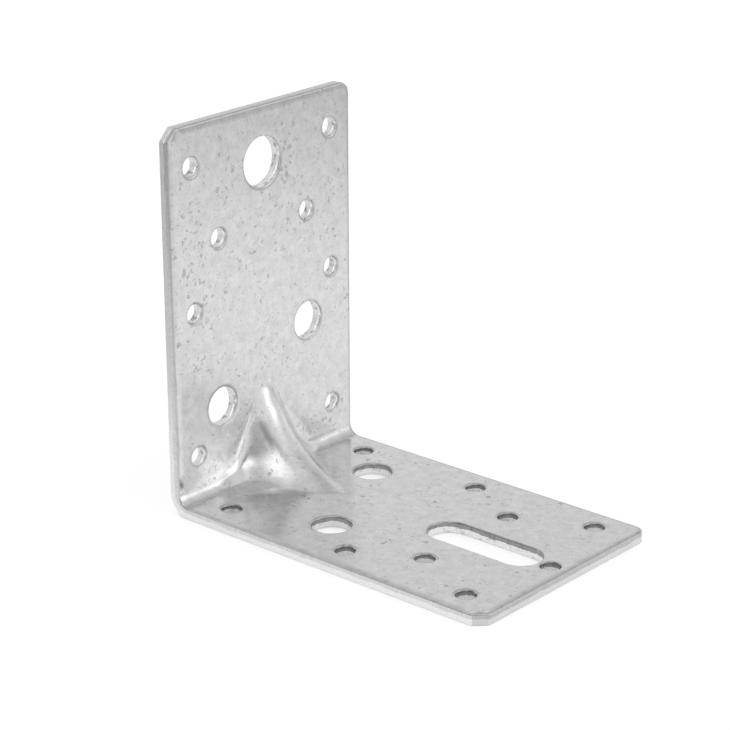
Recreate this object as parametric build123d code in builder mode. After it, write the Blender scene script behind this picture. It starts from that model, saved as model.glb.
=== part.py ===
from build123d import *
from math import cos, radians, sin, sqrt, tan
import os

# Angle bracket folded from one sheet. X runs out along the base flange, Y across the bracket, Z up the wall flange.
# The origin is the centre of the base flange's underside.

# Folded sheet
leg = 100.0  # each flange, from the heel to its free end
width = 65.0
sheet = 3.0
bend_inside = 3.0  # inside radius of the fold
corner_cut = 3.0  # cut-off corners at both free ends, on the side at -Y
corner_round = 3.0  # rounded corners at both free ends, on the side at +Y
edge_roll = 0.6  # rounding that shearing leaves on the inner rim of the outline

# Rib pressed across the fold, from the outside inwards
rib_reach = 29.0  # how far the rib runs up each flange, from the heel
rib_depth = 11.4  # the crest's distance from both outer faces, halfway round the fold
crest_radius = 8.0  # round of the crest, across the rib
flank_slope = 46.0  # degrees that the crest turns through before the flanks
flare_radius = 20.0  # sweep of the flanks out into the fold
flare_sink = 0.4  # how far the flare's end lies under the fold's inner surface
rib_blend = 1.5  # radius between the rib and the flat of the sheet, on the inside

# Punched holes
nail_radius = 2.5
bolt_radius = 5.0
anchor_radius = 6.5
slot_radius = 5.5
slot_length = 33.0
hole_roll = 0.35  # the punch draws the inner rim of each hole down by this much, at 45 degrees
slot_bridge = 1.0  # metal left between the slot and the nail hole at the tip

# Columns of holes, from the bracket's middle plane
outer_column = 25.0
inner_column = 16.0

# Rows of holes, from the heel
heel_row = 14.0
low_bolt_row = 25.0
high_bolt_row = 39.5
middle_row = 52.0

# Rows of holes that keep their distance from the free end
inner_row = leg - 30.5
anchor_row = leg - 14.5
end_row = leg - 10.5
tip_row = leg - 5.0
slot_row = tip_row - nail_radius - slot_bridge - slot_length / 2

heel = -leg / 2
bend_outside = bend_inside + sheet

# Planes on the flanges' inner faces. Both point into the sheet, with the heel at zero and the free end up.
wall_inside = Plane(origin=(heel + sheet, 0, 0), x_dir=(0, -1, 0), z_dir=(-1, 0, 0))
base_inside = Plane(origin=(heel, 0, sheet), x_dir=(0, 1, 0), z_dir=(0, 0, -1))

# The crest runs from flange to flange on an arc, whose chord ends on both inner faces at the rib's reach.
half_chord = (rib_reach - sheet) / sqrt(2)
chord_sag = ((rib_reach + sheet) / 2 - rib_depth) * sqrt(2)
crest_sweep = (half_chord**2 + chord_sag**2) / (2 * chord_sag)
sweep_centre = rib_depth + crest_sweep / sqrt(2)  # distance of the arc's centre from both outer faces
fold_sweep = (sweep_centre - bend_outside) * sqrt(2) + bend_inside  # from that centre to the fold's inner surface
far_corner = sweep_centre * sqrt(2)

# The rib's section lies in a plane through the sweep axis: a crest, two flanks and two flares that meet the fold.
slope = radians(flank_slope)
crest_middle = crest_sweep + crest_radius
flare_middle = fold_sweep + flare_sink - flare_radius
flank_drop = flare_middle + flare_radius * cos(slope) - (crest_middle - crest_radius * cos(slope))
flare_end = crest_radius * sin(slope) + flank_drop / tan(slope) + flare_radius * sin(slope)
section_plane = Plane(origin=(heel + sweep_centre, 0, sweep_centre), x_dir=(0, 1, 0), z_dir=(0, 0, 1))
sweep_axis = Axis(section_plane.origin, (0, -1, 0))


def rib_section(depth):
    """The outline of the rib's section, from a depth under its inner surface out past the heel."""
    with BuildLine() as outline:
        crest = CenterArc((0, crest_middle), crest_radius - depth, -90 - flank_slope, 2 * flank_slope)
        right = CenterArc((flare_end, flare_middle), flare_radius + depth, 90, flank_slope)
        left = CenterArc((-flare_end, flare_middle), flare_radius + depth, 90, -flank_slope)
        Line(crest @ 0, left @ 1)
        Line(crest @ 1, right @ 1)
        Polyline(left @ 0, (-flare_end, far_corner), (flare_end, far_corner), right @ 0)
    return outline.edges()


def crosses_sheet(edge):
    """True for a curve where the rib's swept surface meets the folded sheet."""
    return edge.geom_type not in (GeomType.LINE, GeomType.CIRCLE)


with BuildPart() as rib:
    with BuildSketch(section_plane):
        make_face(rib_section(0))
    revolve(axis=sweep_axis, revolution_arc=90)
    with BuildSketch(Plane.XZ):
        with Locations((heel, 0)):
            Rectangle(sweep_centre, sweep_centre, align=Align.MIN)
        fillet(vertices().sort_by_distance((heel, 0, 0))[0], bend_outside)
    extrude(amount=width, both=True, mode=Mode.INTERSECT)

with BuildPart() as groove:
    with BuildSketch(section_plane):
        make_face(rib_section(sheet))
    revolve(axis=sweep_axis, revolution_arc=90)

with BuildPart() as bracket:
    # Folded flat sheet, with the sheared outline rolled on its inner rim
    with BuildSketch(Plane.XZ):
        with Locations((heel, 0)):
            Rectangle(leg, sheet, align=Align.MIN)
            Rectangle(sheet, leg, align=Align.MIN)
        fillet(vertices().sort_by_distance((heel, 0, 0))[0], bend_outside)
        fillet(vertices().sort_by_distance((heel + sheet, sheet, 0))[0], bend_inside)
    extrude(amount=width / 2, both=True)
    for through, along in ((Axis.Z, Axis.X), (Axis.X, Axis.Z)):
        chamfer(edges().filter_by(through).group_by(along)[-1].sort_by(Axis.Y)[0], corner_cut)
        fillet(edges().filter_by(through).group_by(along)[-1].sort_by(Axis.Y)[-1], corner_round)
    inner_fold = faces().filter_by(GeomType.CYLINDER).sort_by(SortBy.AREA)[0]
    inner_wall = faces().filter_by(Axis.X).sort_by(Axis.X)[1]
    inner_base = faces().filter_by(Axis.Z).sort_by(Axis.Z)[1]
    fold_lines = inner_fold.edges().filter_by(Axis.Y)
    inner_rim = (inner_fold.edges() + inner_wall.edges() + inner_base.edges()) - fold_lines
    fillet(inner_rim, edge_roll)

    # Pressed rib: the crest stands inside the fold, the groove is open at the heel, and both rims are rounded.
    add(rib.part)
    fillet(edges(Select.NEW).filter_by(crosses_sheet), rib_blend)
    add(groove.part, mode=Mode.SUBTRACT)
    fillet(edges(Select.NEW).filter_by(crosses_sheet), rib_blend + sheet)

    # One punched pattern serves both flanges, turned half round on the flat blank.
    for flange in (wall_inside, base_inside):
        with BuildSketch(flange):
            for row in (heel_row, middle_row, end_row):
                with Locations((-outer_column, row), (outer_column, row)):
                    Circle(nail_radius)
            with Locations((-inner_column, inner_row), (inner_column, inner_row)):
                Circle(nail_radius)
            with Locations((inner_column, low_bolt_row), (-inner_column, high_bolt_row)):
                Circle(bolt_radius)
        extrude(amount=sheet, mode=Mode.SUBTRACT)
    with BuildSketch(wall_inside):
        with Locations((0, anchor_row)):
            Circle(anchor_radius)
    extrude(amount=sheet, mode=Mode.SUBTRACT)
    with BuildSketch(base_inside):
        with Locations((0, slot_row)):
            SlotOverall(slot_length, 2 * slot_radius, rotation=90)
        with Locations((0, tip_row)):
            Circle(nail_radius)
    extrude(amount=sheet, mode=Mode.SUBTRACT)
    for through in (Axis.X, Axis.Z):
        flange_face = faces().filter_by(through).sort_by(through)[1]
        chamfer(flange_face.inner_wires().edges(), hole_roll)

bracket.part.label = "angle_bracket"
os.makedirs("parts", exist_ok=True)
export_step(bracket.part, "parts/angle_bracket.step")
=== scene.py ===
import math

import bmesh
import bpy
import numpy as np
from mathutils import Matrix, Vector, noise
from mathutils.geometry import delaunay_2d_cdt


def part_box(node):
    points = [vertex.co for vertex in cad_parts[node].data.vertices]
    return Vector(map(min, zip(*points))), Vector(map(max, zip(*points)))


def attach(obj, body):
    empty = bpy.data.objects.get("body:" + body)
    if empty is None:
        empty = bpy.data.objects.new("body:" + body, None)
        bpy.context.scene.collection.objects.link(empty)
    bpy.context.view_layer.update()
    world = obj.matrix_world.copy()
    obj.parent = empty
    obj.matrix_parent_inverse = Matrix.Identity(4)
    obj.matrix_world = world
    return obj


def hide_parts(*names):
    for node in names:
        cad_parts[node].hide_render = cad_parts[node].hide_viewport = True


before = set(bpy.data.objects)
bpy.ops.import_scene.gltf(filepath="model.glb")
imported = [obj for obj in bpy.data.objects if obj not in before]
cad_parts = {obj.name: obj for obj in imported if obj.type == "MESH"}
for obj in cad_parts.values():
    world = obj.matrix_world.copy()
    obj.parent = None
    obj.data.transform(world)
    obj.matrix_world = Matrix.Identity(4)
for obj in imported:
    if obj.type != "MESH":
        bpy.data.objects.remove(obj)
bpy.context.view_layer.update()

scene = bpy.context.scene
scene.view_settings.view_transform = "Standard"

# Folded sheet. Its sizes are in millimetres: along a flange from the heel, across it from the bracket's
# middle plane, and through it from the outer face. The near side is the one at -Y.
MM = 0.001
QUARTER_TURN = math.pi / 2
low_corner, high_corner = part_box("angle_bracket")
LEG = (high_corner.z - low_corner.z) / MM
HALF_WIDTH = (high_corner.y - low_corner.y) / MM / 2
SHEET = 3.0
BEND_INSIDE = 3.0
BEND_OUTSIDE = BEND_INSIDE + SHEET
CORNER_CUT = 3.0
CUT_ROUND = 0.8  # where a cut-off corner meets the straight sides
CORNER_ROUND = 3.0

# Rib pressed across the fold
RIB_REACH = 29.0
RIB_DEPTH = 11.4
CREST_RADIUS = 8.0
FLANK_SLOPE = math.radians(46)
FLARE_RADIUS = 20.0
FLARE_SINK = 0.4
HALF_CHORD = (RIB_REACH - SHEET) / math.sqrt(2)
CHORD_SAG = ((RIB_REACH + SHEET) / 2 - RIB_DEPTH) * math.sqrt(2)
CREST_SWEEP = (HALF_CHORD**2 + CHORD_SAG**2) / (2 * CHORD_SAG)
SWEEP_CENTRE = RIB_DEPTH + CREST_SWEEP / math.sqrt(2)
FOLD_SWEEP = (SWEEP_CENTRE - BEND_OUTSIDE) * math.sqrt(2) + BEND_INSIDE
CREST_MIDDLE = CREST_SWEEP + CREST_RADIUS
FLARE_MIDDLE = FOLD_SWEEP + FLARE_SINK - FLARE_RADIUS
CREST_END = CREST_MIDDLE - CREST_RADIUS * math.cos(FLANK_SLOPE)
FLANK_DROP = FLARE_MIDDLE + FLARE_RADIUS * math.cos(FLANK_SLOPE) - CREST_END
FLARE_END = (CREST_RADIUS + FLARE_RADIUS) * math.sin(FLANK_SLOPE) + FLANK_DROP / math.tan(FLANK_SLOPE)

# Blend between the rib and the sheet: tight at the rib's ends, soft at the fold
END_BLEND = 1.2
FOLD_BLEND = 7.0
BLEND_SPREAD = 0.32  # round the sweep, in radians
LEAST_BLEND = 1e-3
SEARCH_STEPS = 700  # for the rib's half width, which is looked for
SEARCH_MARGIN = 2.0  # up to this far from the sheet's side

# Unevenness left by the press. Each mark has a place round the sweep in radians, a place across, a spread in
# both directions, and a rise of the surface into the fold. Negative marks are dents.
PRESS_MARKS = {
    "apex_dent": (0.38, -3.9, 0.16, 2.8, -0.33),
    "upper_flank_dent": (0.41, -7.9, 0.18, 2.8, -0.49),
    "upper_flare_rise": (0.58, -10.6, 0.18, 3.0, 0.35),
    "middle_dent": (0.69, -9.4, 0.16, 2.8, -0.69),
    "middle_flare_dent": (0.75, -11.6, 0.16, 2.9, -0.85),
    "fold_flare_rise": (0.80, -15.0, 0.13, 4.2, 0.80),
    "crest_top_rise": (0.33, -3.6, 0.09, 3.2, 0.38),
    "lower_flank_rise": (0.88, -10.2, 0.24, 3.3, 0.68),
    "lower_flare_rise": (0.935, -10.0, 0.16, 3.2, 0.60),
}
MARK_FADE = 5.0  # the marks fade out towards the patch's sides,
MARK_END_FADE = 3.5  # towards the rib's ends,
GROOVE_FADE = 2.0  # and, on the outside, where the groove runs out

# Patch of mesh that holds the rib, wider than the rib itself
PATCH_SPREAD = 1.22
PATCH_MARGIN = 0.6
LEAST_MARGIN = 0.1
PATCH_WIDEST = 27.5  # before the rows are smoothed
PATCH_LIMIT = 29.0  # after
SMOOTHED_ROWS = 3  # on both sides of each row

# Punched holes: place across, place along, radius, and half the straight length of a slot
NAIL, BOLT, ANCHOR, SLOT = 2.5, 5.0, 6.5, 5.5
SLOT_STRAIGHT = 11.0
OUTER_COLUMN, INNER_COLUMN = 25.0, 16.0
HEEL_ROW, MIDDLE_ROW, END_ROW, INNER_ROW = 14.0, 52.0, 89.5, 69.5
LOW_BOLT, HIGH_BOLT = 25.0, 39.5
ANCHOR_ROW, SLOT_ROW, TIP_ROW = 85.5, 75.0, 95.0
TIP_INSET = 5.0  # the nail hole at the tip, from the free end
SHARED_HOLES = [(side * OUTER_COLUMN, row, NAIL, 0)
                for row in (HEEL_ROW, MIDDLE_ROW, END_ROW) for side in (-1, 1)]
SHARED_HOLES += [(side * INNER_COLUMN, INNER_ROW, NAIL, 0) for side in (-1, 1)]
HOLES = {
    "wall": SHARED_HOLES + [(-INNER_COLUMN, LOW_BOLT, BOLT, 0), (INNER_COLUMN, HIGH_BOLT, BOLT, 0),
                            (0, ANCHOR_ROW, ANCHOR, 0)],
    "base": SHARED_HOLES + [(INNER_COLUMN, LOW_BOLT, BOLT, 0), (-INNER_COLUMN, HIGH_BOLT, BOLT, 0),
                            (0, SLOT_ROW, SLOT, SLOT_STRAIGHT), (0, TIP_ROW, NAIL, 0)],
}

# Sheared walls, from the inner face outwards: a dip, a rolled rim, a burnished band, a torn band and a burr
DIP_SLOPE = 0.07  # depth of the dip for each millimetre that it reaches inwards
EDGE_DIP_REACH = 1.7  # from the near side to the bracket's middle
FAR_DIP_REACH = 1.1  # at the far side
HOLE_DIP_REACH = 0.6
LEAST_DIP_REACH = 0.1
DIP_NEAR_CORNER = 1.1  # reach for each millimetre to a tight corner
DIP_CLEARANCE = 0.2
TIGHT_TURN = 0.1  # change of direction between two points that makes a tight corner
EDGE_ROLL = 0.5
HOLE_ROLL = 0.45
EDGE_BREAK = 1.6  # the break line's height over the outer face, between the burnished and the torn band
BREAK_WAVES = ((0.16, 0.23, 0), (0.10, 1.1, 7))  # height, fineness and seed
BREAK_STEP = 0.09  # the torn band steps back over this height
TORN_RECESS = 0.07
TORN_LEAN = 0.03  # the torn band comes out again by up to this much towards the outer face
TORN_WAVE, TORN_FINENESS, TORN_SEED = 0.035, 1.9, 13
LEAST_RECESS = 0.012
BURR_ROUND = 0.12

# Looks of the sheared walls: how bright the burnished and the torn band are, with painted light and shade,
# and how strong the painted shade on the dip and the rim is. The ends are the flanges' free ends with their
# cut-off corners. The painted shade on the sides grows darker up the wall flange.
END_SLANT = 0.8  # a wall belongs to an end if less of its direction than this is across the bracket
SIDE_FADE = 40.0  # height over which the painted shade on the sides deepens
# painted light and shade on the sheared walls: the ends darker, the sides lighter and darker up the wall
# flange
END_BURNISH_SHADE, SIDE_BURNISH_SHADE, BURNISH_SHADE_FALL = 0.52, 0.72, 0.18
END_TORN, SIDE_TORN, TORN_SHADE_FALL = 0.56, 0.80, 0.28
# painted shade along the rims: how strong it is at the ends, at the near side and at the far side
END_RIM_SHADE, NEAR_RIM_SHADE, FAR_RIM_SHADE = 0.9, 0.45, 1.3
# The base holes' walls get painted shade for the dark under the flange, the wall holes' walls painted light.
HOLE_LOOKS = {
    "wall": {"burnished": 2.0, "burnish_and_shade": 0.92, "torn_grey_and_shade": 0.70, "specks": 1.0},
    "base": {"burnished": 1.65, "burnish_and_shade": 0.32, "torn_grey_and_shade": 0.78, "specks": 0.45},
}
SEED_STEP = 3.0
RUN_STEP = 90.0  # between the drag marks of two walls, for each step of their seeds

# Fineness of the mesh
EDGE_STEP = 0.6
HOLE_STEP = 0.45
RIB_STEP = 0.5
RIB_COLUMNS = 144
FOLD_ROWS = 18
SIDE_COLUMNS = 10
DIP_ROWS = 6
ROLL_ROWS = 6
COATED_ROLL_ROWS = 2  # the coating fades out past these rows of the roll
RIM_SHADE_ROLL_ROWS = 3  # without a dip, the painted rim shade sets in over these
BURNISHED_ROWS = (0.35, 0.7, 1.0)  # shares of the way from the roll to the break line
TORN_ROWS = 6
BURR_ROWS = 3
LEAST_CORNER_PIECES = 4
FLAT_STEP = 3.0
FLAT_MARGIN = 2.0
FLAT_ROW_STEP = 0.87 * FLAT_STEP
RIM_GAP = 0.45 * FLAT_STEP
JOIN_DISTANCE = 1e-5
SMALLEST_TRIANGLE = 1e-4
SHORTEST_RUN = 1e-3
ROUND_SLACK = 1e-4  # a slot's ends are rounded by this much less than its half width

points = []
faces = []
exact_normals = {}
VALUE_NAMES = ("lift", "below_break", "cut_run", "cut", "burnish_and_shade", "torn_grey_and_shade", "specks", "painted_rim_shade")
point_values = {name: {} for name in VALUE_NAMES}


def add(new):
    """Adds vertices and returns their numbers, in the same arrangement."""
    new = np.asarray(new, float)
    numbers = np.arange(len(points), len(points) + new[..., 0].size).reshape(new.shape[:-1])
    points.extend(new.reshape(-1, 3))
    return numbers


def skin(grid, closed=False):
    """Quads over a grid of vertex numbers. A closed grid joins its last row to its first."""
    after = np.roll(grid, -1, 0) if closed else grid[1:]
    before = grid if closed else grid[:-1]
    for a, b in zip(before, after):
        faces.extend(zip(a[:-1].tolist(), a[1:].tolist(), b[1:].tolist(), b[:-1].tolist()))


def eased(share):
    """0 to 1 with level ends."""
    share = np.clip(share, 0, 1)
    return share**2 * (3 - 2 * share)


def place(flange, across, along, through):
    """A point of a flange, measured from the heel."""
    across, along, through = np.broadcast_arrays(across, along, through)
    parts = (through, across, along) if flange == "wall" else (along, across, through)
    return np.stack(parts, -1).astype(float)


def trace(corners, rounds, step, closed):
    """Points and outward normals along an outline with rounded corners, whose outside is on its left."""
    corners = [np.array(c, float) for c in corners]
    count = len(corners)
    spots, outward = [], []
    ends = []
    for i, corner in enumerate(corners):
        if not closed and i in (0, count - 1):
            ends.append((corner, corner, None))
            continue
        arrive = corner - corners[i - 1]
        leave = corners[(i + 1) % count] - corner
        arrive, leave = arrive / np.linalg.norm(arrive), leave / np.linalg.norm(leave)
        turn = math.acos(max(-1.0, min(1.0, float(arrive @ leave))))
        cut = rounds[i] * math.tan(turn / 2)
        ends.append((corner - arrive * cut, corner + leave * cut, (arrive, turn, rounds[i])))
    for i in range(count if closed else count - 1):
        start, stop = ends[i][1], ends[(i + 1) % count][0]
        run = stop - start
        length = np.linalg.norm(run)
        if length > SHORTEST_RUN:
            left = np.array((-run[1], run[0])) / length
            pieces = max(1, math.ceil(length / step))
            for k in range(pieces):
                spots.append(start + run * k / pieces)
                outward.append(left)
        bend = ends[(i + 1) % count][2]
        if bend:
            arrive, turn, radius = bend
            left = np.array((-arrive[1], arrive[0]))
            middle = stop - left * radius
            pieces = max(LEAST_CORNER_PIECES, math.ceil(turn * radius / step))
            for k in range(pieces):
                angle = -turn * k / pieces
                way = np.array((left[0] * math.cos(angle) - left[1] * math.sin(angle),
                                left[0] * math.sin(angle) + left[1] * math.cos(angle)))
                spots.append(middle + way * radius)
                outward.append(way)
    if not closed:
        spots.append(ends[-1][0])
        outward.append(outward[-1])
    return np.array(spots), np.array(outward)


def ragged(spots, fineness, seed):
    """A fixed unevenness, about -1 to 1, at each spot."""
    return np.array([noise.noise(Vector(spot) * fineness + Vector((seed, 0, 0))) for spot in spots]) * 2


def shear(start, through, inward, roll, reach, seed, burnished, burnish_and_shade, torn_grey_and_shade, rim_shade_strength=1.0, specks=0.0):
    """The sheared wall along a closed outline, with what its material has to know at each vertex."""
    break_line = burnished
    for height, fineness, wave_seed in BREAK_WAVES:
        break_line = break_line + height * ragged(start, fineness, seed + wave_seed)
    has_dip = reach.any()
    dip = DIP_SLOPE * reach
    rows = []  # distance inwards, place through the sheet, share without coating, and share of painted shade
    # The dip's rows and the rolled rim carry painted shade, which darkens the coating along the rim.
    if has_dip:
        for k in range(DIP_ROWS):
            share = k / DIP_ROWS
            rows.append((roll + reach * (1 - share), SHEET - dip * share**2, 0.0, share**2))
    for k in range(ROLL_ROWS + 1):
        angle = QUARTER_TURN * k / ROLL_ROWS
        bare = max(0.0, (k - COATED_ROLL_ROWS) / (ROLL_ROWS - COATED_ROLL_ROWS))
        painted_rim_shade = 1.0 if has_dip else min(1.0, k / RIM_SHADE_ROLL_ROWS)
        rows.append((roll * (1 - math.sin(angle)), SHEET - dip - roll * (1 - math.cos(angle)), bare, painted_rim_shade))
    top = SHEET - dip - roll
    for share in BURNISHED_ROWS:
        rows.append((0.0, top + (break_line - top) * share, 1.0, 1.0))
    torn_top = break_line - BREAK_STEP
    for k in range(TORN_ROWS):
        share = k / TORN_ROWS
        wave = TORN_WAVE * ragged(start + through * k, TORN_FINENESS, seed + TORN_SEED + k)
        recess = (TORN_RECESS + wave - TORN_LEAN * share).clip(LEAST_RECESS, None)
        rows.append((recess, torn_top + (BURR_ROUND - torn_top) * share, 1.0, 1.0))
    for k in range(BURR_ROWS + 1):
        angle = QUARTER_TURN * k / BURR_ROWS
        recess = BURR_ROUND * (1 - math.cos(angle)) + LEAST_RECESS
        rows.append((recess, BURR_ROUND * (1 - math.sin(angle)), 1 - k / BURR_ROWS, 0.0))

    def column(values):
        return np.broadcast_to(values, len(start))[:, None]

    numbers = add(np.stack([start + through * column(t) + inward * column(a) for a, t, _, _ in rows], 1))
    run = np.concatenate(((0.0,), np.linalg.norm(np.diff(start, axis=0), axis=1).cumsum()))
    for k, (_, t, bare, painted_rim_shade) in enumerate(rows):
        row_values = {"below_break": break_line - t, "cut_run": run + RUN_STEP * seed, "cut": bare,
                      "burnish_and_shade": burnish_and_shade, "torn_grey_and_shade": torn_grey_and_shade, "specks": specks, "painted_rim_shade": painted_rim_shade * rim_shade_strength}
        for name, value in row_values.items():
            point_values[name].update(zip(numbers[:, k].tolist(), column(value)[:, 0].tolist()))
    skin(numbers, closed=True)
    return numbers


def flange_edge(flange, spots, inward):
    """Places on the outer face along an outline, with the directions through the sheet and into it."""
    through = (1.0, 0, 0) if flange == "wall" else (0, 0, 1.0)
    return place(flange, *spots.T, 0), np.tile(through, (len(spots), 1)), place(flange, *inward.T, 0)


def fold_edge(side, angles):
    """The same along one side of the fold."""
    rays = np.stack((np.cos(angles), np.zeros(len(angles)), np.sin(angles)), -1)
    start = np.array((BEND_OUTSIDE, side * HALF_WIDTH, BEND_OUTSIDE)) - BEND_OUTSIDE * rays
    return start, rays, np.tile((0.0, -side, 0.0), (len(angles), 1))


def edge_dip_reach(start, inward):
    """How far the dip reaches in from the outline: less near tight corners and the nail hole at the tip."""
    turned = np.linalg.norm(np.roll(inward, 1, 0) - inward, axis=1) > TIGHT_TURN
    tight = start[turned & (start[:, 1] < 0)]
    room = np.linalg.norm(start[:, None] - tight[None], axis=2).min(1)
    to_tip_hole = np.linalg.norm(start - (LEG - TIP_INSET, 0, 0), axis=1)
    tip_room = to_tip_hole - NAIL - EDGE_ROLL - HOLE_ROLL - DIP_CLEARANCE
    widest = np.interp(start[:, 1], (0, HALF_WIDTH), (EDGE_DIP_REACH, FAR_DIP_REACH))
    return np.minimum(tip_room, np.clip(DIP_NEAR_CORNER * room - DIP_CLEARANCE, LEAST_DIP_REACH, widest))


def sheet_edge():
    """The sheared wall round the whole sheet, in the stretches that both faces of the sheet join on to."""
    corners = [(-HALF_WIDTH, BEND_OUTSIDE), (-HALF_WIDTH, LEG - CORNER_CUT), (-HALF_WIDTH + CORNER_CUT, LEG),
               (HALF_WIDTH, LEG), (HALF_WIDTH, BEND_OUTSIDE)]
    spots, outward = trace(corners, [0, CUT_ROUND, CUT_ROUND, CORNER_ROUND, 0], EDGE_STEP, closed=False)
    angles = np.linspace(0, QUARTER_TURN, FOLD_ROWS + 1)[1:-1]
    wall_edge = flange_edge("wall", spots, -outward)
    base_edge = [values[::-1] for values in flange_edge("base", spots, -outward)]
    stretches = (wall_edge, fold_edge(1, angles), base_edge, fold_edge(-1, angles[::-1]))
    start, through, inward = (np.vstack(values) for values in zip(*stretches))
    at_end = np.abs(inward[:, 1]) < END_SLANT
    height = eased((start[:, 2] - BEND_OUTSIDE) / SIDE_FADE)
    # The sheared wall round the sheet gets the painted light and shade by place that is set above.
    wall = shear(start, through, inward, EDGE_ROLL, edge_dip_reach(start, inward), 0.0, EDGE_BREAK,
                 burnish_and_shade=np.where(at_end, END_BURNISH_SHADE, SIDE_BURNISH_SHADE - BURNISH_SHADE_FALL * height),
                 torn_grey_and_shade=np.where(at_end, END_TORN, SIDE_TORN - TORN_SHADE_FALL * height),
                 rim_shade_strength=np.where(at_end, END_RIM_SHADE, np.where(start[:, 1] < 0, NEAR_RIM_SHADE, FAR_RIM_SHADE)))
    wall_end = len(spots)
    base_start = wall_end + len(angles)
    base_end = base_start + len(spots)
    return {"wall": wall[:wall_end], "base": wall[base_start:base_end],
            "far_fold": wall[wall_end - 1:base_start + 1],
            "near_fold": np.vstack((wall[base_end - 1:], wall[:1]))[::-1]}


def hole_wall(flange, number, across, along, radius, straight):
    """The sheared wall of one hole."""
    if straight:
        end = straight + radius
        box = [(across - radius, along + end), (across + radius, along + end),
               (across + radius, along - end), (across - radius, along - end)]
        rim, away = trace(box, [radius - ROUND_SLACK] * 4, HOLE_STEP, closed=True)
    else:
        pieces = math.ceil(2 * math.pi * radius / HOLE_STEP)
        angles = np.linspace(0, 2 * math.pi, pieces, endpoint=False)
        away = np.stack((np.cos(angles), np.sin(angles)), -1)
        rim = np.array((across, along)) + radius * away
    crowded = along > END_ROW or straight
    reach = np.full(len(rim), 0.0 if crowded else HOLE_DIP_REACH)
    return shear(*flange_edge(flange, rim, away), HOLE_ROLL, reach, SEED_STEP * number, **HOLE_LOOKS[flange])


def rib_distance(across, under):
    """From the sweep's centre to the rib's surface or, under it by the sheet's thickness, to the groove's."""
    across = np.abs(across)
    crest, flare = CREST_RADIUS - under, FLARE_RADIUS + under
    crest_side, flare_side = crest * math.sin(FLANK_SLOPE), FLARE_END - flare * math.sin(FLANK_SLOPE)
    round_top = CREST_MIDDLE - np.sqrt(np.maximum(crest**2 - across**2, 0))
    flank = CREST_MIDDLE - crest * math.cos(FLANK_SLOPE) + (across - crest_side) * math.tan(FLANK_SLOPE)
    flared = FLARE_MIDDLE + np.sqrt(np.maximum(flare**2 - (across - FLARE_END) ** 2, 0))
    beyond = FLARE_MIDDLE + flare + (across - FLARE_END) ** 2 / (2 * FLARE_RADIUS)
    outer = np.where(across < FLARE_END, flared, beyond)
    return np.where(across < crest_side, round_top, np.where(across < flare_side, flank, outer))


def profile(through):
    """Points and normals down the wall, round the fold and along the base, and the fold's first row."""
    radius = BEND_OUTSIDE - through
    row_count = math.ceil((RIB_REACH - BEND_OUTSIDE) / RIB_STEP)
    alongs = np.linspace(RIB_REACH + PATCH_MARGIN, BEND_OUTSIDE, row_count + 1)
    rows = [((through, a), (1.0, 0.0)) for a in alongs[:-1]]
    for angle in np.linspace(0, QUARTER_TURN, FOLD_ROWS + 1):
        ray = (math.cos(angle), math.sin(angle))
        rows.append(((BEND_OUTSIDE - radius * ray[0], BEND_OUTSIDE - radius * ray[1]), ray))
    rows += [((a, through), (0.0, 1.0)) for a in alongs[-2::-1]]
    return np.array([spot for spot, _ in rows]), np.array([normal for _, normal in rows]), row_count


def from_centre(spot):
    """The way from the sweep's centre to a spot, its length, and its place round the sweep."""
    way = spot - SWEEP_CENTRE
    return way, np.linalg.norm(way), math.atan2(-way[1], -way[0])


def press_marks(round_sweep, across):
    """How far the press marks raise the rib's surface, at a place round the sweep and across."""
    rise = np.zeros_like(across)
    for place_round, place_across, spread_round, spread_across, height in PRESS_MARKS.values():
        away = ((round_sweep - place_round) / spread_round) ** 2
        away = away + ((across - place_across) / spread_across) ** 2
        rise += height * np.exp(-away)
    return rise


def rib_surface(spot, normal, across, under):
    """One row's distances from the sweep's centre, without press marks, and half the pressed width."""
    way, reach, round_sweep = from_centre(spot)
    nearness = math.exp(-(((round_sweep - math.pi / 4) / BLEND_SPREAD) ** 4))
    blend = END_BLEND + (FOLD_BLEND - END_BLEND) * nearness + under
    tilt = math.acos(min(1.0, float(-(way / reach) @ normal)))
    span = np.linspace(0, HALF_WIDTH - SEARCH_MARGIN, SEARCH_STEPS)
    climb = rib_distance(span, under) - reach
    meets = np.argmax(climb > 0) if (climb > 0).any() else len(span) - 1
    slope = math.atan(max(0.0, float(np.gradient(climb, span)[meets])))
    mix = max(blend * (tilt**2 + slope**2) / 2, LEAST_BLEND)
    half = span[np.argmax(climb > mix)] if (climb > mix).any() else span[-1]
    rib = rib_distance(across, under)
    overlap = np.maximum(mix - np.abs(rib - reach), 0) / mix
    return np.minimum(rib, reach) - overlap**2 * mix / 4, half


def patch_widths(spots, normals, under):
    """Half the patch's width in each row: wider than the rib, growing towards the fold, and smoothed."""
    bare = np.array([rib_surface(s, n, np.zeros(1), under)[1] for s, n in zip(spots, normals)])
    halves = np.minimum(np.maximum.accumulate(bare), np.maximum.accumulate(bare[::-1])[::-1])
    halves = np.minimum(halves * PATCH_SPREAD + PATCH_MARGIN, PATCH_WIDEST)
    window = 2 * SMOOTHED_ROWS + 1
    padded = np.pad(halves, SMOOTHED_ROWS, mode="edge")
    smooth = np.convolve(padded, np.full(window, 1 / window), mode="valid")
    return np.minimum(np.maximum(smooth, bare + LEAST_MARGIN), PATCH_LIMIT)


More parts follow.
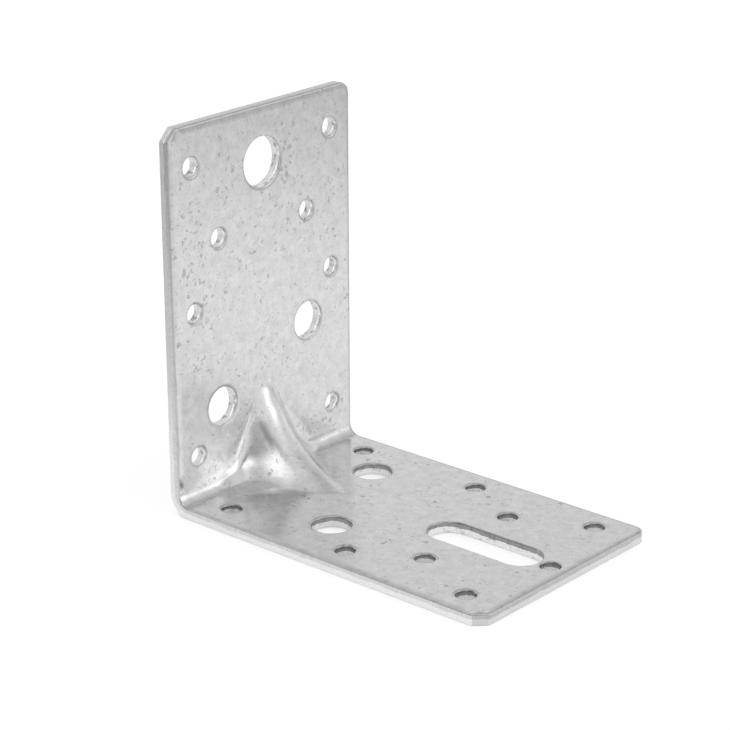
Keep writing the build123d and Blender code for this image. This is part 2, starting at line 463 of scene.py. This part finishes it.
def rib_patch(through):
    """The grid of the pressed surface on one side of the sheet, and the row at which its fold starts."""
    under = SHEET - through
    spots, normals, fold_start = profile(through)
    shares = np.linspace(-1, 1, RIB_COLUMNS + 1)
    grid, lift = [], []
    for spot, normal, half in zip(spots, normals, patch_widths(spots, normals, under)):
        way, reach, round_sweep = from_centre(spot)
        across = shares * half
        far = rib_surface(spot, normal, across, under)[0]
        fade = eased((half - np.abs(across)) / MARK_FADE) * eased((RIB_REACH - max(spot)) / MARK_END_FADE)
        if under:
            fade = fade * eased((reach - far) / GROOVE_FADE)
        far = far - fade * press_marks(round_sweep, across)
        x, z = (SWEEP_CENTRE + part / reach * far for part in way)
        grid.append(np.stack((x, across, z), -1))
        lift.append(reach - far)
    grid, lift = np.array(grid), np.array(lift)
    numbers = add(grid)
    skin(numbers)
    point_values["lift"].update(zip(numbers.ravel().tolist(), lift.ravel()))
    upright = np.cross(np.gradient(grid, axis=1), np.gradient(grid, axis=0))
    upright /= np.linalg.norm(upright, axis=-1, keepdims=True)
    plain = np.array((normals[:, 0], np.zeros(len(normals)), normals[:, 1])).T[:, None, :]
    facing = 1 if through > 0 else -1
    upright *= np.sign((upright * plain).sum(-1, keepdims=True)) * facing
    exact_normals.update(zip(numbers.ravel().tolist(), upright.reshape(-1, 3)))
    return numbers, fold_start


def fold_strip(starts, stops, facing):
    """The plain part of the fold, row by row from the rib's patch to the sheared wall."""
    shares = np.linspace(0, 1, SIDE_COLUMNS + 1)[1:-1, None]
    strip = []
    for row, (start, stop) in enumerate(zip(starts, stops)):
        middle = add(points[start] * (1 - shares) + points[stop] * shares)
        angle = QUARTER_TURN * row / FOLD_ROWS
        strip.append([start, *middle, stop])
        for number in strip[-1]:
            exact_normals[int(number)] = np.array((math.cos(angle), 0, math.sin(angle))) * facing
    strip = np.array(strip)
    skin(strip)
    return strip


def fill(flange, through, facing, loop, holes):
    """Triangles over one flat face, from its outline of vertex numbers and its holes' rims."""
    along_axis, through_axis = (2, 0) if flange == "wall" else (0, 2)
    rings = [[int(n) for n in ring] for ring in (loop, *holes)]
    numbers = [n for ring in rings for n in ring]
    flat = np.array([(points[n][1], points[n][along_axis]) for n in numbers])
    edges = []
    start = 0
    for ring in rings:
        edges += [(start + k, start + (k + 1) % len(ring)) for k in range(len(ring))]
        start += len(ring)
    ends = flat[np.array(edges)]

    def inside(spots):
        a, b = ends[:, 0][None], ends[:, 1][None]
        x, y = spots[:, None, 0], spots[:, None, 1]
        crosses = (a[..., 1] > y) != (b[..., 1] > y)
        rise = np.where(crosses, b[..., 1] - a[..., 1], 1)
        hits = crosses & (x < a[..., 0] + (y - a[..., 1]) * (b[..., 0] - a[..., 0]) / rise)
        return hits.sum(1) % 2 == 1

    rows = np.arange(BEND_OUTSIDE + FLAT_STEP, LEG, FLAT_ROW_STEP)
    columns = np.arange(FLAT_MARGIN - HALF_WIDTH, HALF_WIDTH - FLAT_MARGIN, FLAT_STEP)
    spare = np.array([(x + FLAT_STEP / 2 * (k % 2), y) for k, y in enumerate(rows) for x in columns])
    spare = spare[inside(spare)]
    spare = spare[np.linalg.norm(spare[:, None] - flat[None], axis=2).min(1) > RIM_GAP]
    numbers += add(place(flange, *spare.T, through)).tolist()
    flat = np.vstack((flat, spare))
    vectors = [Vector(p) for p in flat]
    out, _, cells, origins, _, _ = delaunay_2d_cdt(vectors, edges, [], 0, JOIN_DISTANCE, True)
    shapes = np.array([[out[k] for k in cell] for cell in cells])
    sides = shapes[:, 1:] - shapes[:, :1]
    areas = np.abs(sides[:, 0, 0] * sides[:, 1, 1] - sides[:, 0, 1] * sides[:, 1, 0]) / 2
    for cell, keep in zip(cells, inside(shapes.mean(1)) & (areas > SMALLEST_TRIANGLE)):
        if keep:
            faces.append(tuple(numbers[origins[k][0]] for k in cell))
    upright = np.zeros(3)
    upright[through_axis] = facing
    exact_normals.update((number, upright) for number in numbers)


def sheet_face(edge, hole_walls, row, through):
    """One face of the sheet. The inner one meets the sheared walls' first row, the outer one their last."""
    facing = 1.0 if through > 0 else -1.0
    patch, fold_start = rib_patch(through)
    fold_end = fold_start + FOLD_ROWS
    fold = patch[fold_start:fold_end + 1]
    near = fold_strip(fold[:, 0], edge["near_fold"][:, row], facing)
    far = fold_strip(fold[:, -1], edge["far_fold"][:, row], facing)
    upper, lower = patch[:fold_start + 1], patch[fold_end:]
    loops = {"wall": [*edge["wall"][:, row], *far[0][-2:0:-1], *upper[::-1, -1], *upper[0, -2:0:-1],
                      *upper[:, 0], *near[0][1:-1]],
             "base": [*edge["base"][:, row], *near[-1][-2:0:-1], *lower[:, 0], *lower[-1, 1:-1],
                      *lower[::-1, -1], *far[-1][1:-1]]}
    for flange, loop in loops.items():
        fill(flange, through, facing, loop, [wall[:, row] for wall in hole_walls[flange]])


def sheet_mesh():
    """The closed mesh in metres and in the frame, with exact normals on the flat and the pressed surfaces."""
    mesh = bpy.data.meshes.new("bracket_sheet")
    mesh.from_pydata([tuple(p) for p in points], [], faces)
    shape = bmesh.new()
    shape.from_mesh(mesh)
    bmesh.ops.recalc_face_normals(shape, faces=shape.faces)
    shape.to_mesh(mesh)
    shape.free()
    mesh.transform(Matrix.Translation(Vector((low_corner.x, 0, 0))) @ Matrix.Scale(MM, 4))
    mesh.shade_smooth()
    mesh.update()
    flat_view = np.zeros(len(mesh.vertices) * 3, np.float32)
    mesh.vertices.foreach_get("normal", flat_view)
    normals = flat_view.reshape(-1, 3).copy()
    for number, exact in exact_normals.items():
        normals[number] = exact
    mesh.normals_split_custom_set_from_vertices([tuple(n) for n in normals])
    return mesh


edge = sheet_edge()
hole_walls = {flange: [hole_wall(flange, number, *hole) for number, hole in enumerate(holes)]
              for flange, holes in HOLES.items()}
sheet_face(edge, hole_walls, 0, SHEET)
sheet_face(edge, hole_walls, -1, 0.0)

mesh = sheet_mesh()
sheet = bpy.data.objects.new("bracket_sheet", mesh)
scene.collection.objects.link(sheet)
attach(sheet, "root")
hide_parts("angle_bracket")

for name, values in point_values.items():
    attribute = mesh.attributes.new(name, "FLOAT", "POINT")
    every = np.zeros(len(mesh.vertices), np.float32)
    every[list(values)] = list(values.values())
    attribute.data.foreach_set("value", every)


class Nodes:
    """Short ways to add nodes to the tree of a material or of the world."""

    def __init__(self, owner):
        owner.use_nodes = True
        self.nodes = owner.node_tree.nodes
        self.links = owner.node_tree.links

    def connect(self, socket, value):
        if isinstance(value, bpy.types.NodeSocket):
            self.links.new(value, socket)
        else:
            socket.default_value = value

    def add(self, kind, *values, **settings):
        """A node with its settings, and its first inputs in their order."""
        node = self.nodes.new("ShaderNode" + kind)
        for name, setting in settings.items():
            setattr(node, name, setting)
        for socket, value in zip(node.inputs, values):
            self.connect(socket, value)
        return node

    def maths(self, operation, *values):
        return self.add("Math", *values, operation=operation).outputs[0]

    def vector(self, operation, *values):
        return self.add("VectorMath", *values, operation=operation).outputs[0]

    def scaled(self, vector, scale):
        node = self.add("VectorMath", vector, operation="SCALE")
        self.connect(node.inputs["Scale"], scale)
        return node.outputs[0]

    def spread(self, value, low, high, start=0.0, stop=1.0, smooth=False):
        """Goes from start to stop while the value goes from low to high, and stays there beyond."""
        node = self.add("MapRange", value, low, high, start, stop)
        if smooth:
            node.interpolation_type = "SMOOTHSTEP"
        return node.outputs[0]

    def blend(self, share, first, second):
        node = self.add("Mix", share)
        self.connect(node.inputs[2], first)
        self.connect(node.inputs[3], second)
        return node.outputs[0]

    def noise(self, place, scale, detail=2.0, roughness=0.5, colour=False):
        node = self.add("TexNoise")
        self.connect(node.inputs["Vector"], place)
        node.inputs["Scale"].default_value = scale
        node.inputs["Detail"].default_value = detail
        node.inputs["Roughness"].default_value = roughness
        return node.outputs["Color" if colour else "Fac"]

    def cells(self, place, scale):
        node = self.add("TexVoronoi")
        self.connect(node.inputs["Vector"], place)
        node.inputs["Scale"].default_value = scale
        return node.outputs["Distance"], node.outputs["Color"]

    def attribute(self, name):
        return self.add("Attribute", attribute_name=name).outputs["Fac"]

    def layered(self, start, layers):
        """A start with patterns added to it, each by its own amount."""
        for pattern, amount in layers:
            start = self.maths("MULTIPLY_ADD", pattern, amount, start)
        return start


# Looks of the zinc coating. Lengths are in millimetres, and scales are in features for each millimetre.
NOISE_MIDDLE = 0.5
RELIEF_HEIGHT = 0.012 * MM  # also that of the bare steel
FLECK_WARP = 2.6
FLECK_KINDS = ((0.36, 0.80, 0.56), (0.75, 0.60, 0.62))  # scale, largest radius, and luck for the smallest
FULL_LUCK = 1.15  # luck for the largest
CLUSTER_WEIGHT = 1.1
STREAK_TURN = math.radians(-41)
STREAK_STRETCH = (0.28, 2.1, 1.0)
COATING_LEVEL = 0.70
COATING_ROUGHNESS = 0.15
GRAIN_RELIEF = 0.35

# Looks of the bare steel on the sheared walls
DRAG_SQUEEZE = 0.2  # makes the drag marks long through the sheet
DRAG_AMOUNT, DRAG_LEVEL = 0.7, 0.65
WAVER = 0.5  # of the line between the burnished and the torn band
TORN_AMOUNT = 0.4
SPECK_SHADE = -0.45
BURNISHED_ROUGHNESS, TORN_ROUGHNESS = 0.24, 0.5
TEAR_RELIEF = 5.0


def fleck_pattern(zinc, place):
    """Small flecks of dull oxide in loose clusters, more of them high on the wall flange."""
    wobble = zinc.noise(place, scale=1.1, detail=3.0, roughness=0.6, colour=True)
    warp = zinc.vector("SUBTRACT", wobble, (NOISE_MIDDLE,) * 3)
    warped = zinc.vector("ADD", place, zinc.scaled(warp, FLECK_WARP))
    clusters = zinc.noise(place, scale=0.16)
    height = zinc.add("SeparateXYZ", place).outputs["Z"]
    more_above = zinc.spread(height, low=20.0, high=60.0, start=-0.55, stop=-0.47, smooth=True)
    flecks = 0.0
    for scale, largest, least_luck in FLECK_KINDS:
        distance, chance = zinc.cells(warped, scale)
        luck = zinc.maths("ADD", zinc.add("SeparateColor", chance).outputs[0],
                          zinc.maths("MULTIPLY_ADD", clusters, CLUSTER_WEIGHT, more_above))
        radius = zinc.spread(luck, low=least_luck, high=FULL_LUCK, stop=largest)
        inside_fleck = zinc.maths("SUBTRACT", radius, zinc.maths("DIVIDE", distance, scale))
        fleck = zinc.spread(inside_fleck, low=-0.12, high=0.24, smooth=True)
        fleck = zinc.maths("MULTIPLY", fleck, zinc.spread(radius, low=0.02, high=0.25))
        flecks = zinc.maths("MAXIMUM", flecks, fleck)
    return flecks


def scratch_pattern(zinc, place):
    """Short curved scratches: thin level lines of a noise, shown only in patches."""
    lines = zinc.maths("ABSOLUTE", zinc.maths("SUBTRACT", zinc.noise(place, scale=0.6), NOISE_MIDDLE))
    scratches = zinc.spread(lines, low=0.010, high=0.030, start=1.0, stop=0.0, smooth=True)
    shown = zinc.spread(zinc.noise(place, scale=0.55), low=0.52, high=0.62, smooth=True)
    return zinc.maths("MULTIPLY", scratches, shown)


def streak_pattern(zinc, place):
    """Long faint streaks on level surfaces, at an angle to the bracket's sides."""
    slanted = zinc.add("Mapping", place)
    slanted.inputs["Rotation"].default_value = (0, 0, STREAK_TURN)
    stretched = zinc.vector("MULTIPLY", slanted.outputs[0], STREAK_STRETCH)
    bands = zinc.noise(stretched, scale=1.0, detail=3.0, roughness=0.6)
    streaks = zinc.spread(bands, low=0.56, high=0.74, smooth=True)
    facing = zinc.add("SeparateXYZ", zinc.add("NewGeometry").outputs["Normal"]).outputs["Z"]
    level = zinc.spread(zinc.maths("ABSOLUTE", facing), low=0.8, high=0.98)
    return zinc.maths("MULTIPLY", streaks, level)


def sheared_bands(zinc, place):
    """The torn band's share, and the sheared walls' grey with drag marks, specks, and painted light and
    shade.
    """
    below_break = zinc.attribute("below_break")
    squeezed = zinc.maths("MULTIPLY", below_break, DRAG_SQUEEZE)
    on_wall = zinc.add("CombineXYZ", zinc.attribute("cut_run"), squeezed).outputs[0]
    drag = zinc.noise(on_wall, scale=2.6, detail=3.0, roughness=0.7)
    waver = zinc.maths("MULTIPLY_ADD", zinc.noise(on_wall, scale=1.6, detail=3.0), WAVER, -WAVER / 2)
    torn = zinc.spread(zinc.maths("ADD", below_break, waver), low=-0.06, high=0.10, smooth=True)
    dragged = zinc.maths("MULTIPLY_ADD", drag, DRAG_AMOUNT, DRAG_LEVEL)
    burnished = zinc.maths("MULTIPLY", zinc.attribute("burnish_and_shade"), dragged)
    tears = zinc.noise(place, scale=3.0, detail=4.0, roughness=0.7)
    rough = zinc.maths("MULTIPLY_ADD", tears, TORN_AMOUNT, zinc.attribute("torn_grey_and_shade"))
    specks = zinc.spread(zinc.noise(place, scale=0.62), low=0.57, high=0.66, smooth=True)
    specks = zinc.maths("MULTIPLY", specks, zinc.attribute("specks"))
    grey = zinc.blend(torn, burnished, rough)
    return torn, zinc.maths("MULTIPLY", grey, zinc.maths("MULTIPLY_ADD", specks, SPECK_SHADE, 1.0))


def zinc_coated_steel():
    """A grained, clouded coating with flecks, scratches, streaks and painted rim shade, and bare sheared
    walls.
    """
    material = bpy.data.materials.new("zinc_coated_steel")
    zinc = Nodes(material)
    place = zinc.scaled(zinc.add("TexCoord").outputs["Object"], 1 / MM)
    cut = zinc.attribute("cut")
    pressed = zinc.spread(zinc.attribute("lift"), low=0.1, high=1.2, smooth=True)
    grain = zinc.noise(place, scale=3.4, detail=3.0, roughness=0.6)
    clouds = zinc.noise(place, scale=0.32, detail=7.0, roughness=0.70)
    flecks = fleck_pattern(zinc, place)
    scratches = scratch_pattern(zinc, place)
    streaks = streak_pattern(zinc, place)
    torn, cut_grey = sheared_bands(zinc, place)

    # Grey: each pattern has an amount and a level that it changes, and all levels are multiplied.
    # The last pattern is painted shade along the rims.
    patterns = ((grain, 0.26, 0.87), (clouds, 0.64, 0.68), (flecks, -0.28, 1.0), (scratches, -0.16, 1.0),
                (streaks, -0.11, 1.0), (zinc.attribute("painted_rim_shade"), -0.22, 1.0))
    shades = [zinc.maths("MULTIPLY_ADD", *pattern) for pattern in patterns]
    coating = shades[0]
    for shade in (*shades[1:], COATING_LEVEL):
        coating = zinc.maths("MULTIPLY", coating, shade)
    shader = zinc.nodes["Principled BSDF"]
    zinc.connect(shader.inputs["Base Color"], zinc.blend(cut, coating, cut_grey))

    # Roughness: clouds and flecks are rougher, the pressed rib is smoother, and the torn band is roughest
    coating_wear = zinc.layered(COATING_ROUGHNESS, ((clouds, 0.10), (flecks, 0.18), (pressed, -0.03)))
    cut_wear = zinc.blend(torn, BURNISHED_ROUGHNESS, TORN_ROUGHNESS)
    zinc.connect(shader.inputs["Roughness"], zinc.blend(cut, coating_wear, cut_wear))
    shader.inputs["Metallic"].default_value = 1.0

    # Relief: grain on the coating, pits under flecks and scratches, tears on the cuts
    grain_relief = zinc.maths("MULTIPLY", grain, GRAIN_RELIEF)
    coating_relief = zinc.layered(grain_relief, ((flecks, -0.5), (scratches, -0.4)))
    tears = zinc.maths("MULTIPLY", zinc.noise(place, scale=2.6, detail=4.0, roughness=0.7), torn)
    cut_relief = zinc.maths("MULTIPLY", tears, TEAR_RELIEF)
    bump = zinc.add("Bump")
    bump.inputs["Strength"].default_value = 1.0
    bump.inputs["Distance"].default_value = RELIEF_HEIGHT
    zinc.connect(bump.inputs["Height"], zinc.blend(cut, coating_relief, cut_relief))
    zinc.connect(shader.inputs["Normal"], bump.outputs[0])
    return material


mesh.materials.append(zinc_coated_steel())

# Camera, fitted to the photograph
EYE = Vector((0.365477, -0.430457, 0.254069))
AZIMUTH = math.radians(41.35)  # of the picture's right-hand direction, from +X towards +Y
ELEVATION = math.radians(20.496)
ROLL = math.radians(-0.275)
SENSOR = 36.0
FOCAL_PIXELS = 2480.87
PICTURE_PIXELS = 730
NEAREST_SEEN = 0.01


def direction(azimuth, elevation):
    """A direction away from the object, with the azimuth from +X towards +Y."""
    level = math.cos(elevation)
    return math.cos(azimuth) * level, math.sin(azimuth) * level, math.sin(elevation)


def fitted_camera():
    """The camera at the fitted place, which looks down by its elevation and is tilted by its roll."""
    back = Vector(direction(AZIMUTH - QUARTER_TURN, ELEVATION))
    level = Vector(direction(AZIMUTH, 0))
    upright = back.cross(level)
    right = math.cos(ROLL) * level + math.sin(ROLL) * upright
    optics = bpy.data.cameras.new("camera")
    optics.sensor_width = SENSOR
    optics.lens = SENSOR * FOCAL_PIXELS / PICTURE_PIXELS
    optics.clip_start = NEAREST_SEEN
    camera = bpy.data.objects.new("camera", optics)
    turned = Matrix((right, back.cross(right), back)).transposed().to_4x4()
    camera.matrix_world = Matrix.Translation(EYE) @ turned
    scene.collection.objects.link(camera)
    scene.camera = camera


fitted_camera()

# Paper floor, in metres
FLOOR_SIZE = 6.0
PAPER_GREY = (0.85, 0.85, 0.85, 1)  # for light that bounces off it
SHADED_GREY = (0.36, 0.36, 0.36, 1)  # under the white glow that the camera and reflections see
SHADOW_REACH = 0.04
SHADOW_SAMPLES = 8
PAPER_SEEN = 0.75  # strength of the glow for the camera
PAPER_FAR = 0.32  # and for reflections, away from the painted pools of light
PAPER_SHADE = 0.55  # share of open sky from which the paper is at full strength
PAINTED_POOLS = {  # painted pools of light that reflections see on the paper: x and y of the middle, reach and rise
    "painted_pool_before_wall": (0.06, 0.08, 0.42, 0.42),
    "painted_pool_behind_wall": (-0.16, -0.13, 0.15, 0.42),
}


def paper_floor():
    """White paper with the object's shadow to the camera, dimmer with two painted light pools to reflections.
    """
    material = bpy.data.materials.new("paper_floor")
    paper = Nodes(material)
    paper.nodes.clear()
    rays = paper.add("LightPath").outputs
    by_camera = rays["Is Camera Ray"]
    mirrored_or_through = paper.maths("MAXIMUM", rays["Is Glossy Ray"], rays["Is Transmission Ray"])
    position = paper.add("NewGeometry").outputs["Position"]
    mirrored = PAPER_FAR
    for name, (middle_x, middle_y, reach, rise) in PAINTED_POOLS.items():
        distance = paper.add("VectorMath", position, (middle_x, middle_y, 0), operation="DISTANCE", name=name)
        glow = paper.spread(distance.outputs["Value"], low=0.0, high=reach, start=rise, stop=0.0, smooth=True)
        mirrored = paper.maths("ADD", glow, mirrored)
    full = paper.blend(by_camera, mirrored, PAPER_SEEN)
    open_sky = paper.add("AmbientOcclusion", samples=SHADOW_SAMPLES)
    open_sky.inputs["Distance"].default_value = SHADOW_REACH
    white = paper.add("Emission", name="paper_white")
    strength = paper.spread(open_sky.outputs["AO"], low=0.0, high=PAPER_SHADE, stop=full)
    paper.connect(white.inputs["Strength"], strength)
    seen = paper.add("AddShader", paper.add("BsdfDiffuse", SHADED_GREY).outputs[0], white.outputs[0])
    choice = paper.add("MixShader", paper.maths("MAXIMUM", by_camera, mirrored_or_through),
                       paper.add("BsdfDiffuse", PAPER_GREY).outputs[0], seen.outputs[0])
    paper.add("OutputMaterial", choice.outputs[0])
    return material


bpy.ops.mesh.primitive_plane_add(size=FLOOR_SIZE)
floor = bpy.context.object
floor.name = "floor"
floor.data.materials.append(paper_floor())

# Soft studio light: a pale room with broad panels, brighter or dimmer than the room
ROOM_LEVEL = 1.14
PANELS = {  # azimuth from +X towards +Y, elevation and spread in degrees, and strength
    "key_panel": (25.2, 17.0, 10.0, 1.71),
    "top_panel": (311.1, 65.6, 10.3, 0.34),
    "side_panel": (88.0, 10.0, 16.5, 0.37),
    "back_panel": (193.4, 13.2, 12.5, 1.58),
    "fill_panel": (130.0, 21.0, 12.0, 0.24),
    "front_shade": (262.3, 21.3, 36.2, -0.91),
    "far_shade": (104.5, 24.8, 40.8, -0.60),
    "key_shade": (19.0, 19.4, 8.0, -1.00),
    "narrow_panel": (294.5, 45.7, 8.0, 1.15),
    "low_shade": (323.4, 33.0, 10.6, -0.28),
    "high_shade": (325.1, 52.4, 11.2, -0.98),
    "high_panel": (320.2, 54.4, 8.0, 1.42),
}
BACKGROUND_SEEN = 1.0


def studio_light():
    """The room's level with each panel added to it, and plain white where the camera sees the background."""
    world = bpy.data.worlds.new("world")
    scene.world = world
    room = Nodes(world)
    way = room.add("TexCoord").outputs["Generated"]
    level = ROOM_LEVEL
    for name, (azimuth, elevation, spread, strength) in PANELS.items():
        middle = direction(math.radians(azimuth), math.radians(elevation))
        toward = room.add("VectorMath", way, middle, operation="DOT_PRODUCT", name=name).outputs["Value"]
        steepness = 1 / math.radians(spread) ** 2
        glow = room.maths("EXPONENT", room.maths("MULTIPLY_ADD", toward, steepness, -steepness))
        level = room.maths("MULTIPLY_ADD", glow, strength, level)
    background = room.nodes["Background"]
    background.inputs["Color"].default_value = (1, 1, 1, 1)
    by_camera = room.add("LightPath").outputs["Is Camera Ray"]
    room.connect(background.inputs["Strength"], room.blend(by_camera, level, BACKGROUND_SEEN))


studio_light()
